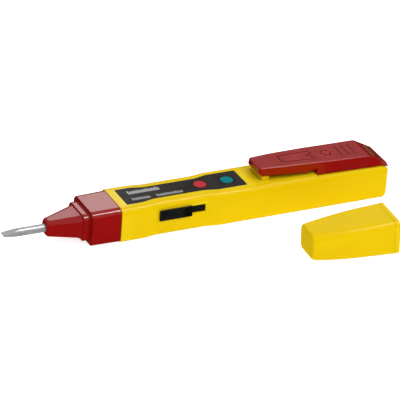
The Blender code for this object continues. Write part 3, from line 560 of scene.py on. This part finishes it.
def make_label(surfaces):
    film = label_plate("label_sheet", 0.0, TOP - 0.4, TOP)
    cut(film, window_cutters("holes", WINDOW_RADIUS + 0.12, TOP - 2, TOP + 2))
    finish(film, "barrel_body", "label_film", surfaces["label_film"], "label", smooth_below=5)


def make_print(surfaces):
    """Plain marks on the label: one bold and two fine rows of upright ticks of changing height."""
    low, high = TOP + 0.002, TOP + 0.03
    rows = (
        (50.6, 63.6, 1.0, 3.6, 17, 0.55),
        (50.4, 57.8, -3.6, -1.7, 10, 0.42),
        (60.4, 71.2, -3.5, -1.6, 14, 0.42),
    )
    heights = (1.0, 0.72, 0.72, 0.86, 0.72)
    marks = []
    for front, rear, near, far, count, fill in rows:
        pitch = (rear - front) / count
        for index in range(count):
            start = front + pitch * index
            end = near + (far - near) * heights[index % len(heights)]
            marks.append(((start, near, low), (start + pitch * fill, end, high)))
    obj = boxes("label_marks", marks)
    finish(obj, "barrel_body", "label_film", surfaces["label_print"])


def make_window(name, node, slot, surface, x):
    """Indicator window: a shallow dome inside a rounded rim, on a flange behind the wall."""
    edge = WINDOW_RADIUS
    profile = [(0, TOP + 0.06)]
    profile += [(edge * 0.72 * step / 6, TOP + 0.06 - 0.06 * (step / 6) ** 2) for step in range(1, 7)]
    profile += [(edge * 0.76, TOP + 0.05)]
    rim = 0.28
    profile += arc((edge - rim, TOP + 0.14 - rim), rim, 100, 0, 6)
    profile += [(edge, TOP - 1.8), (3.5, TOP - 1.8), (3.5, TOP - 2.4), (0, TOP - 2.4)]
    window = turned(name, profile)
    window.data.transform(Matrix.Translation((x, 0, 0)))
    finish(window, "barrel_body", slot, surface, node)


def make_nose(surfaces):
    """Tapered nose, sealing ring and collar in one moulding, with a spigot into the barrel."""
    stations = []
    tip_round = 1.3
    for step in range(7):
        turn = math.radians(90 * step / 6)
        shrink = tip_round * (1 - math.sin(turn))
        x = NOSE_FRONT + tip_round * (1 - math.cos(turn))
        ring = rounded_section(
            2.95 - shrink, 3.55 + shrink, 9.9 - shrink, 1.9 - shrink * 0.4, 1.6 - shrink * 0.4
        )
        stations.append((x, ring))
    stations += [
        (27.6, rounded_section(6.05, 2.85, 11.3, 2.8, 1.8)),
        (28.2, rounded_section(6.25, 2.7, 11.42, 2.8, 1.8)),
        (29.2, rounded_section(6.75, 2.3, 11.65, 2.8, 1.8)),
        (29.2, rounded_section(7.2, 1.8, 12.3, 2.6, 1.8)),
        (31.9, rounded_section(7.2, 1.8, 12.3, 2.6, 1.8)),
        (31.9, rounded_section(8.9, 0.2, 13.6, 2.8, 1.9)),
        (COLLAR_REAR + 2, rounded_section(9.15, 0.08, 13.87, 2.8, 2.0)),
    ]
    shell = loft("nose_moulding", stations)
    soften(shell, 0.45, angle=24, segments=4)
    cut(shell, boxes("excess", [((COLLAR_REAR, -12, -2), (COLLAR_REAR + 4, 12, 16))]))
    soften(shell, 0.2, angle=60)
    spigot_section = rounded_section(HALF_WIDTH - 1.8, 1.8, TOP - 1.8, 0.7, 0.4)
    spigot = loft("spigot", [(x, spigot_section) for x in (COLLAR_REAR - 2, SPIGOT_REAR)])
    join(shell, spigot)
    hollow_section = rounded_section(6.1, 3.1, 10.9, 0.8, 0.8)
    hollow = loft("hollow", [(x, hollow_section) for x in (34.0, SPIGOT_REAR + 2)])
    on_x = Matrix.Rotation(math.pi / 2, 4, "Y")
    bore = cylinders("bore", [(NOSE_FRONT + 9, 0, BLADE_AXIS)], 1.68, 22, 48, on_x)
    cut(shell, hollow, bore)
    finish(shell, "barrel_body", "red_plastic", surfaces["red_plastic"], "nose_piece")


def make_blade(surfaces):
    """Round shank whose tip is ground hollow on both sides, with a head inside the nose."""
    radius, points = 1.55, 48
    tip_half, chamfer, ground = 0.34, 0.12, 6.6

    def ring(scale, half_thickness):
        result = []
        for step in range(points):
            turn = 2 * math.pi * step / points
            z = min(max(radius * scale * math.sin(turn), -half_thickness), half_thickness)
            result.append((radius * scale * math.cos(turn), BLADE_AXIS + z))
        return result

    stations = [(0.0, ring(0.9, tip_half * 0.7)), (chamfer, ring(0.96, tip_half))]
    steps = 18
    for step in range(1, steps + 1):
        part = step / steps
        half_thickness = tip_half + (radius - tip_half) * part**1.2
        stations.append((chamfer + (ground - chamfer) * part, ring(1.0, half_thickness)))
    shank, head = ring(1.0, radius), ring(1.66, 9)
    head_front, head_rear = 35.6, 37.6
    stations += [(head_front, shank), (head_front, head), (head_rear, head), (head_rear, shank)]
    stations.append((BLADE_REAR, shank))
    blade = loft("blade_shank", stations)
    finish(blade, "barrel_body", "blade_steel", surfaces["blade_steel"], "blade", smooth_below=24)


def cover_section(top, top_half, bottom, bottom_half):
    """Points (y, z) of leaning flanks and a flat top with softly rounded edges."""
    lean = math.degrees(math.atan2(bottom_half - top_half, top - bottom))
    round_top, round_bottom = 0.45, 0.2
    right = arc((top_half - round_top, top - round_top), round_top, lean, 90, 5)
    left = [(-y, z) for y, z in reversed(right)]
    foot = arc((bottom_half - round_bottom, bottom + round_bottom), round_bottom, -90, lean, 3)
    foot_left = [(-y, z) for y, z in reversed(foot)]
    return foot + right + left + foot_left


def make_cover(surfaces):
    """Cell cover with the pocket clip moulded on its front."""
    tip_round, lip_top = 0.8, 15.62
    arm = [
        (CLIP_FRONT, 19.05, 5.0, 16.55, 5.2),
        (102.6, 19.05, 5.0, 16.2, 5.2),
        (106.0, 19.05, 5.3, 15.85, 5.5),
        (110.0, 19.05, 5.6, 15.7, 5.85),
        (118.0, 18.85, 6.05, 15.35, 6.4),
        (124.0, 18.72, 6.35, 15.1, 6.7),
    ]
    hump = [
        (COVER_FRONT, 18.7, 6.4, 13.65, 7.15),
        (134.0, 18.4, 6.65, 13.65, 7.45),
        (146.7, 18.1, 6.95, 13.65, 7.88),
        (147.3, 17.92, 6.95, 13.65, 7.9),
        (LIP_FRONT, lip_top, 6.9, 13.65, 8.06),
    ]
    for x, low in lip_curve(0.3)[1:8]:
        hump.append((x, lip_top - (x - LIP_FRONT) * SLOPE, 6.9, low, 8.06 + (x - LIP_FRONT) * 0.04))
    hump.append((COVER_REAR, lip_top - (COVER_REAR - LIP_FRONT) * SLOPE, 6.9, 12.66, 8.18))
    stations = []
    _, top, top_half, bottom, bottom_half = arm[0]
    for step in range(6):
        turn = math.radians(90 * step / 6)
        shrink = tip_round * (1 - math.sin(turn))
        x = CLIP_FRONT + tip_round * (1 - math.cos(turn))
        section = cover_section(top - shrink * 0.7, top_half - shrink, bottom, bottom_half - shrink)
        stations.append((x, section))
    stations += [(x, cover_section(*numbers)) for x, *numbers in arm[1:] + hump]
    cover = loft("cover_moulding", stations)
    soften(cover, 0.3, angle=28)

    step_notch = boxes(
        "step_notch",
        [((122.3, near, DECK), (124.9, near + 2.1, 16.2)) for near in (-8.0, 5.9)],
    )
    well = boxes("well", [((126.0, -5.0, 13.0), (149.0, 5.0, 16.6))])
    pocket = boxes("pocket", [((106.5, -3.4, 14.0), (122.0, 3.4, 17.4))])
    turns = [turn * math.pi / 3 for turn in range(6)]
    hole_places = [(131.6 + 1.9 * math.cos(t), 1.9 * math.sin(t), 17.5) for t in turns]
    holes = cylinders("sound_holes", hole_places, radius=0.5, length=5, segments=20)
    first_groove, fall = 137.1, 0.023
    grooves = boxes(
        "grooves",
        [
            ((x - 0.28, -3.9, 18.02 - (x - first_groove) * fall), (x + 0.28, 3.9, 20))
            for x in (first_groove, 139.9, 142.7)
        ],
    )
    strip_slot = touch_strip("strip_slot", 0.25, 5.0, 1.0)
    leaf_room = boxes("leaf_room", [((-0.8, -2.4, -4.0), (3.4, 2.4, -0.9))])
    leaf_room.data.transform(STRIP_PLACE)
    outline, arrow = clip_engravings()
    cut(cover, well, pocket, holes, grooves, step_notch, strip_slot, leaf_room, outline, arrow)

    runners = []
    front, rear, low, high = 127.0, COVER_REAR - 0.3, 10.6, 14.05
    for side in (-1, 1):
        web = sorted((side * 5.3, side * 6.2))
        foot = sorted((side * 5.6, side * 7.05))
        runners.append(boxes("web", [((front, web[0], low), (rear, web[1], high))]))
        runners.append(boxes("foot", [((front, foot[0], low), (rear, foot[1], 11.45))]))
    tail = boxes("tail", [((REAR - 1.3, -5.9, low), (rear, 5.9, high))])
    join(cover, *runners, tail)
    finish(cover, "cover_body", "red_plastic", surfaces["clip_plastic"], "battery_cover")


def ribbon(name, points, half, bottom, top):
    """An upright band along flat points (x, y), used to engrave a line."""
    shape = bmesh.new()
    rows = []
    for index, (x, y) in enumerate(points):
        before = Vector(points[max(index - 1, 0)])
        after = Vector(points[min(index + 1, len(points) - 1)])
        along = (after - before).normalized()
        side = Vector((-along.y, along.x)) * half
        rows.append(
            [
                shape.verts.new((x + side.x, y + side.y, bottom)),
                shape.verts.new((x + side.x, y + side.y, top)),
                shape.verts.new((x - side.x, y - side.y, top)),
                shape.verts.new((x - side.x, y - side.y, bottom)),
            ]
        )
    for first, second in zip(rows, rows[1:]):
        for index in range(4):
            after = (index + 1) % 4
            shape.faces.new((first[index], first[after], second[after], second[index]))
    shape.faces.new(rows[0])
    shape.faces.new(rows[-1])
    return from_bmesh(name, shape)


def clip_engravings():
    """Lines cut into the clip's top: a frame that is open at the rear, and an arrowhead."""
    corner = 1.3
    front, rear, near = 112.1, 126.3, 2.6
    path = [(rear, near + 0.5)]
    path += arc((front + corner, near - corner), corner, 90, 180, 6)
    path += arc((front + corner, corner - near), corner, 180, 270, 6)
    path += [(rear, -near - 0.5)]
    outline = ribbon("outline", path, 0.2, 18.3, 20)
    arrow = ribbon("arrow", [(126.0, 1.7), (123.6, 0.0), (126.0, -1.7)], 0.28, 18.2, 20)
    return outline, arrow


def touch_strip(name, margin, down, up):
    """A strip across the cover's sloped rear face."""
    half = 1.0 + margin
    strip = boxes(name, [((-half, -4.1 - margin, -down), (half, 4.1 + margin, up))])
    strip.data.transform(STRIP_PLACE)
    return strip


def make_contact(surfaces):
    contact = touch_strip("contact_strip", 0.0, 1.4, 0.1)
    soften(contact, 0.12)
    leaf = boxes("leaf", [((-0.4, -2.0, -1.6), (3.0, 2.0, -1.2))])
    leaf.data.transform(STRIP_PLACE)
    join(contact, leaf)
    finish(contact, "cover_body", "brass", surfaces["brass"], "touch_contact")


def make_knob(surfaces):
    """Thumb pad with fine ribs, on a stem through the slot and a shutter behind the wall."""
    low, high = SLOT_HEIGHTS[0] + 0.2, SLOT_HEIGHTS[1] - 0.2
    pad = boxes("knob_moulding", [((PAD[0], PAD_FACE, 6.7), (PAD[1], -8.75, 10.8))])
    places = (62.4, 64.0, 65.6, 67.2, 68.8)
    grooves = boxes(
        "grooves",
        [((x - 0.2, PAD_FACE - 1, 7.2), (x + 0.2, PAD_FACE + 0.15, 10.3)) for x in places],
    )
    cut(pad, grooves)
    soften(pad, 0.1)
    stem = boxes("stem", [((59.55, -9.0, low), (71.45, SHUTTER_BACK - 0.3, high))])
    shutter_low = (SHUTTER[0], SHUTTER_BACK - 0.8, SLOT_HEIGHTS[0] - 1.0)
    shutter_high = (SHUTTER[1], SHUTTER_BACK, SLOT_HEIGHTS[1] + 1.0)
    shutter = boxes("shutter", [(shutter_low, shutter_high)])
    lever, half = middle("switch_lever", 0), 1.3
    notch = boxes("notch", [((lever - half, -8.2, low), (lever + half, -5.0, high))])
    join(pad, stem, shutter)
    cut(pad, notch)
    finish(pad, "switch_body", "black_plastic", surfaces["black_plastic"], "switch_knob")


def guard_placement():
    """Turn and place of the loose guard, its mouth's upper edge at its own origin."""
    joint = next(j for j in frame["joints"] if j["name"] == "guard_slide")
    away = Vector(joint["axis"]).normalized()
    points = [v.co for v in frame["nodes"]["blade_guard"].data.vertices]
    across = Vector((-away.y, away.x, 0))
    mouth = min(p.dot(away) for p in points) / MM + GUARD_LEAN * GUARD_HEIGHT
    sides = [p.dot(across) / MM for p in points]
    centre = away * mouth + across * (min(sides) + max(sides)) / 2
    turn = math.atan2(-away.y, -away.x)
    return Matrix.Translation((centre.x - TIP / MM, centre.y, 0)) @ Matrix.Rotation(turn, 4, "Z")


def make_guard(surfaces):
    """Tapered cap lying on its flat side, with leaning ends and a fine line round its mouth."""
    wall, depth = 1.1, 32.0
    stations = blend_stations(
        [
            (0.0, 8.9, 0.0, GUARD_HEIGHT, 2.4, 1.6),
            (12.0, 8.55, 0.0, 12.85, 2.6, 2.0),
            (20.0, 8.0, 0.0, 12.2, 2.6, 2.0),
            (27.0, 7.15, 0.1, 11.6, 2.6, 2.0),
            (31.6, 6.4, 0.3, 11.2, 2.6, 2.0),
            (33.0, 6.12, 0.5, 11.05, 2.6, 2.0),
        ]
    )
    end_round, steps = 0.9, 6
    length, half, bottom, top, top_radius, bottom_radius = stations[-1]
    for step in range(1, steps + 1):
        turn = math.radians(90 * step / steps)
        shrink = end_round * (1 - math.cos(turn))
        radii = (top_radius - shrink * 0.5, bottom_radius - shrink * 0.3)
        back = length + end_round * math.sin(turn)
        stations.append((back, half - shrink, bottom + shrink, top - shrink, *radii))
    guard = loft("guard_moulding", [(-back, rounded_section(*numbers)) for back, *numbers in stations])

    inside = [(2.0, rounded_section(8.9 - wall, wall, GUARD_HEIGHT - wall, 1.6, 0.8))]
    for back, half, bottom, top, top_radius, bottom_radius in stations[::3]:
        if back < depth:
            radii = (top_radius - 0.8, bottom_radius - 0.8)
            inside.append((-back, rounded_section(half - wall, bottom + wall, top - wall, *radii)))
    cavity = loft("guard_cavity", inside)
    line_outer = rounded_section(9.4, -0.4, 14.1, 2.8, 2.0)
    line_inner = rounded_section(8.74, 0.1, 13.42, 2.3, 1.6)
    band = loft("rim_line", [(x, line_outer) for x in (-2.15, -1.85)])
    core = loft("rim_core", [(x, line_inner) for x in (-2.4, -1.6)])
    cut(band, core)
    cut(guard, cavity, band)
    soften(guard, 0.16, angle=50)
    for vertex in guard.data.vertices:
        vertex.co.x += GUARD_END_LEAN * (GUARD_HEIGHT - vertex.co.z)
    guard.data.transform(guard_placement())
    finish(guard, "guard_body", "yellow_plastic", surfaces["yellow_plastic"], "blade_guard")


def dress_inner_nodes(surfaces):
    """Gives every CAD node that stays its own finish."""
    for row in frame["record"]["subparts"]:
        obj = frame["nodes"][row["node"]]
        obj.data.materials.clear()
        obj.data.materials.append(surfaces[row["material_slot"]])


# ------------------------------------------------------ camera, light, floor


def direction(azimuth, elevation):
    """Unit vector from the object towards a viewer there; azimuth 0 looks along +Y."""
    a, e = math.radians(azimuth), math.radians(elevation)
    return Vector((math.sin(a) * math.cos(e), -math.cos(a) * math.cos(e), math.sin(e)))


def make_camera():
    """A long lens looking down on the pen from its blade's near side, turned a little."""
    azimuth, elevation, roll = -27.63, 28.49, math.radians(4.38)
    distance, aside, lens = 1.3167, 0.0044, 318.0
    target = Vector((TIP + 75 * MM, 0.25 * MM, 7.84 * MM))
    back = direction(azimuth, elevation)
    level = Vector((math.cos(math.radians(azimuth)), math.sin(math.radians(azimuth)), 0))
    upright = back.cross(level)
    right = level * math.cos(roll) + upright * math.sin(roll)
    up = upright * math.cos(roll) - level * math.sin(roll)
    data = bpy.data.cameras.new("camera")
    data.lens = lens
    data.sensor_width = 36
    data.clip_start, data.clip_end = 0.05, 50
    camera = bpy.data.objects.new("camera", data)
    bpy.context.scene.collection.objects.link(camera)
    turn = Matrix((right, up, back)).transposed().to_4x4()
    camera.matrix_world = Matrix.Translation(target + back * distance + right * aside) @ turn
    bpy.context.scene.camera = camera


def soft_light(name, place, width, height, power, aim=(0, 0, 0), shading=True, sheen=True):
    """A rectangle of light at place (azimuth, elevation, distance) about its aim."""
    azimuth, elevation, distance = place
    data = bpy.data.lights.new(name, "AREA")
    data.shape = "RECTANGLE"
    data.size, data.size_y = width, height
    data.energy = power
    light = bpy.data.objects.new(name, data)
    bpy.context.scene.collection.objects.link(light)
    towards = direction(azimuth, elevation)
    light.visible_diffuse = shading
    light.visible_glossy = sheen
    light.location = Vector(aim) + towards * distance
    light.rotation_euler = towards.to_track_quat("Z", "Y").to_euler()


def make_lights():
    world = bpy.data.worlds.new("studio")
    bpy.context.scene.world = world
    world.use_nodes = True
    tree = world.node_tree
    place = tree.nodes.new("ShaderNodeTexCoord")
    parts = tree.nodes.new("ShaderNodeSeparateXYZ")
    tree.links.new(place.outputs["Generated"], parts.inputs["Vector"])
    sky = remap(tree, parts.outputs["Z"], 0.2, 0.5, 0.03, 0.55)
    tree.links.new(sky, tree.nodes["Background"].inputs["Strength"])
    tree.nodes["Background"].inputs["Color"].default_value = (1, 1, 1, 1)
    collar, nose = (TIP + 37.4 * MM, 0, TOP * MM), (TIP + 23.4 * MM, 0, 10.5 * MM)
    soft_light("collar_panel", (153.7, 29.7, 0.13), 0.028, 0.022, 0.0047, aim=collar, shading=False)
    soft_light("nose_panel", (161.9, 37.0, 0.1), 0.022, 0.022, 0.003, aim=nose, shading=False)
    soft_light("edge_light", (56, 61, 0.8), 0.28, 0.28, 3.6, shading=False)
    soft_light("back_fill", (156, 35, 0.75), 0.4, 0.3, 0.9, sheen=False)
    soft_light("overhead", (60, 80, 1.0), 1.0, 0.6, 3.0, sheen=False)
    soft_light("key", (40, 50, 0.8), 0.2, 0.2, 1.2, sheen=False)
    soft_light("front_fill", (0, 40, 1.0), 1.0, 0.6, 3.2, sheen=False)


def make_floor():
    """Plain pale surface under the object."""
    low = CAD_BOUNDS[0][2]
    shape = bmesh.new()
    bmesh.ops.create_grid(shape, x_segments=8, y_segments=8, size=3.0)
    floor = from_bmesh("floor", shape)
    floor.location.z = low - 0.00005
    made, tree, shader = new_material("pale_paper")
    tone = remap(tree, noise(tree, 8, 2.0), 0.3, 0.7, 0.0, 1.0)
    tree.links.new(mix(tree, tone, (0.62, 0.62, 0.62), (0.65, 0.65, 0.65)), shader.inputs["Base Color"])
    shader.inputs["Roughness"].default_value = 0.9
    shader.inputs["Specular IOR Level"].default_value = 0.0
    shader.inputs["Emission Color"].default_value = (1, 1, 1, 1)
    shader.inputs["Emission Strength"].default_value = 0.8
    floor.data.materials.append(made)
    floor.visible_glossy = False


def main():
    bpy.context.scene.view_settings.view_transform = "Standard"
    make_camera()
    make_lights()
    make_floor()
    surfaces = make_materials()
    dress_inner_nodes(surfaces)
    make_barrel(surfaces)
    make_label(surfaces)
    make_print(surfaces)
    make_window("red_window", "red_lens", "red_lens", surfaces["red_lens"], WINDOWS[0])
    make_window("green_window", "green_lens", "green_lens", surfaces["green_lens"], WINDOWS[1])
    make_nose(surfaces)
    make_blade(surfaces)
    make_cover(surfaces)
    make_contact(surfaces)
    make_knob(surfaces)
    make_guard(surfaces)


main()
